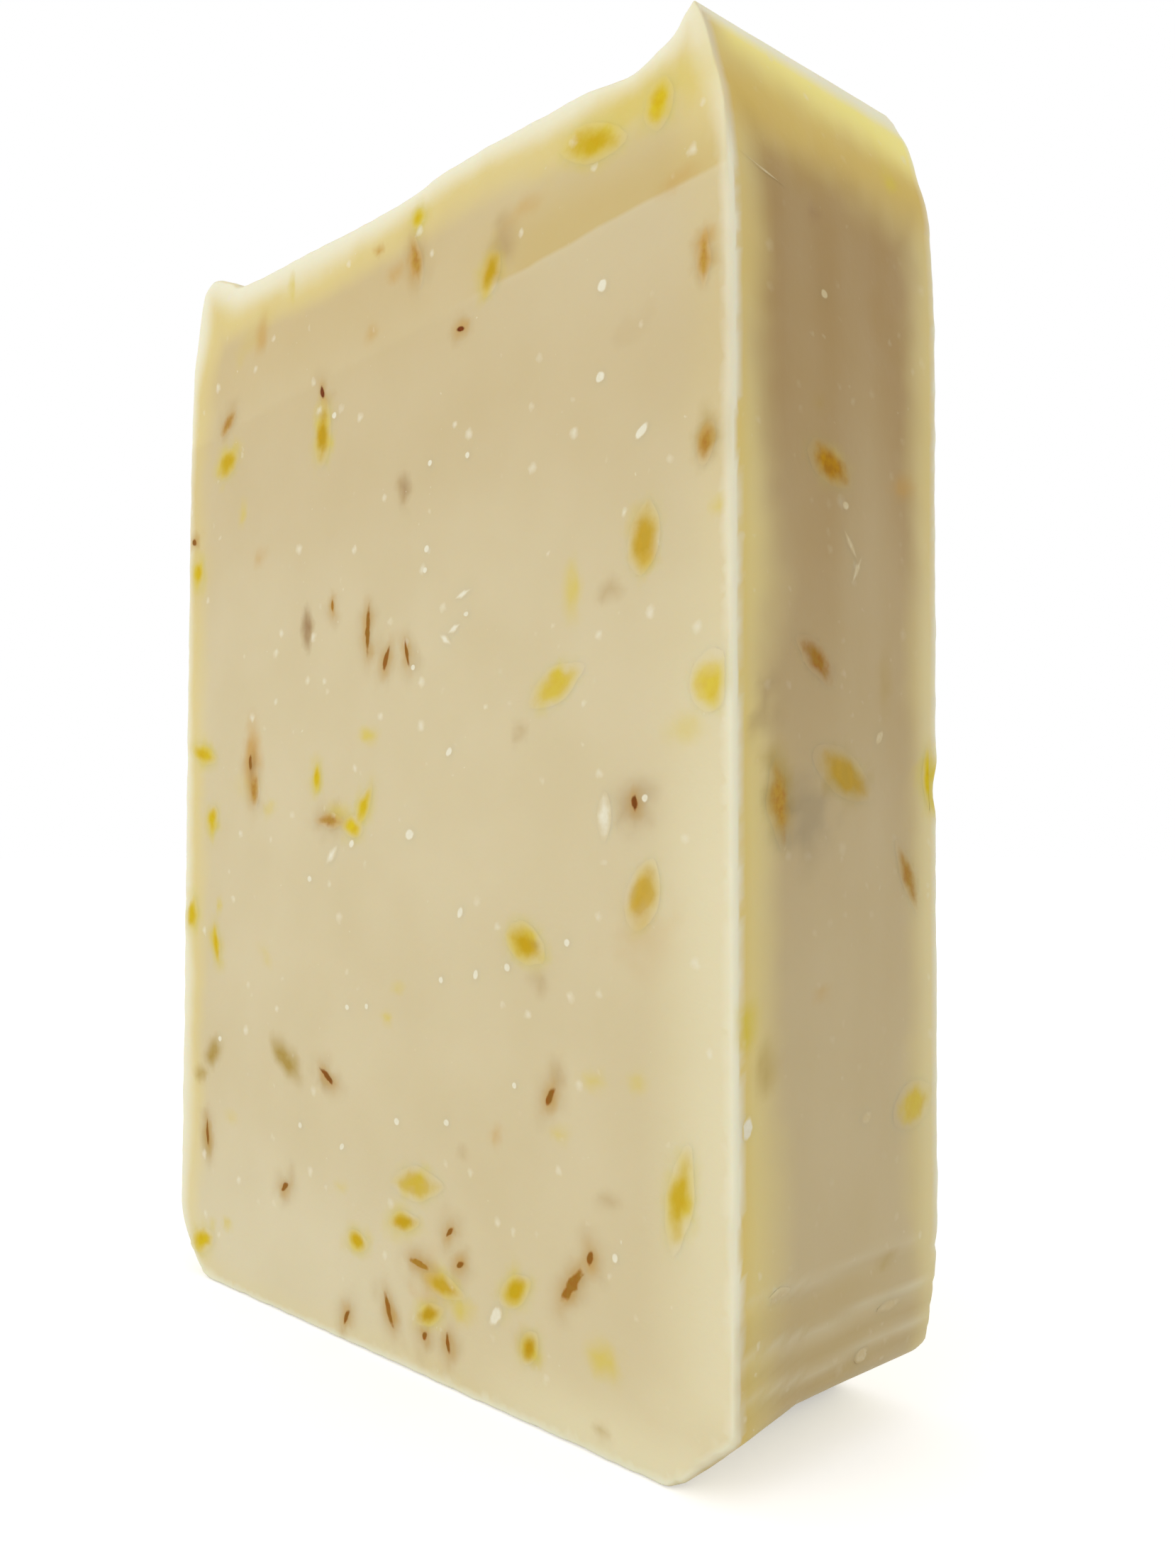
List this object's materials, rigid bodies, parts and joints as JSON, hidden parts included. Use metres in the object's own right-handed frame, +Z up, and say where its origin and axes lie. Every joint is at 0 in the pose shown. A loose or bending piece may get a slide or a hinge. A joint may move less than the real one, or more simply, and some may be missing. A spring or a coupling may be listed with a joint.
{
  "type": "bar of soap",
  "caption": "Hand-cut bar of cold-process soap with dried petals and flower bits cast in, standing on its foot, for washing hands and body.",
  "frame": {"origin": "middle of the foot, the side that lay on the bottom of the mould, midway between the two cut faces and the two narrow sides", "axes": "+X to the right across the slice, +Y from the front cut face to the back one, +Z up from the foot to the poured top with its two lips"},
  "size_m": [0.0666, 0.023, 0.0918],
  "materials": {
    "soap": "matte, waxy and slightly translucent",
    "yellow_petal": "matte, dried petal cut flush",
    "brown_flower_bit": "matte, dried and brittle"
  },
  "bodies": {
    "root": {"soap_bar": "soap", "yellow_petals": "yellow_petal", "brown_flecks": "brown_flower_bit"}
  },
  "joints": []
}
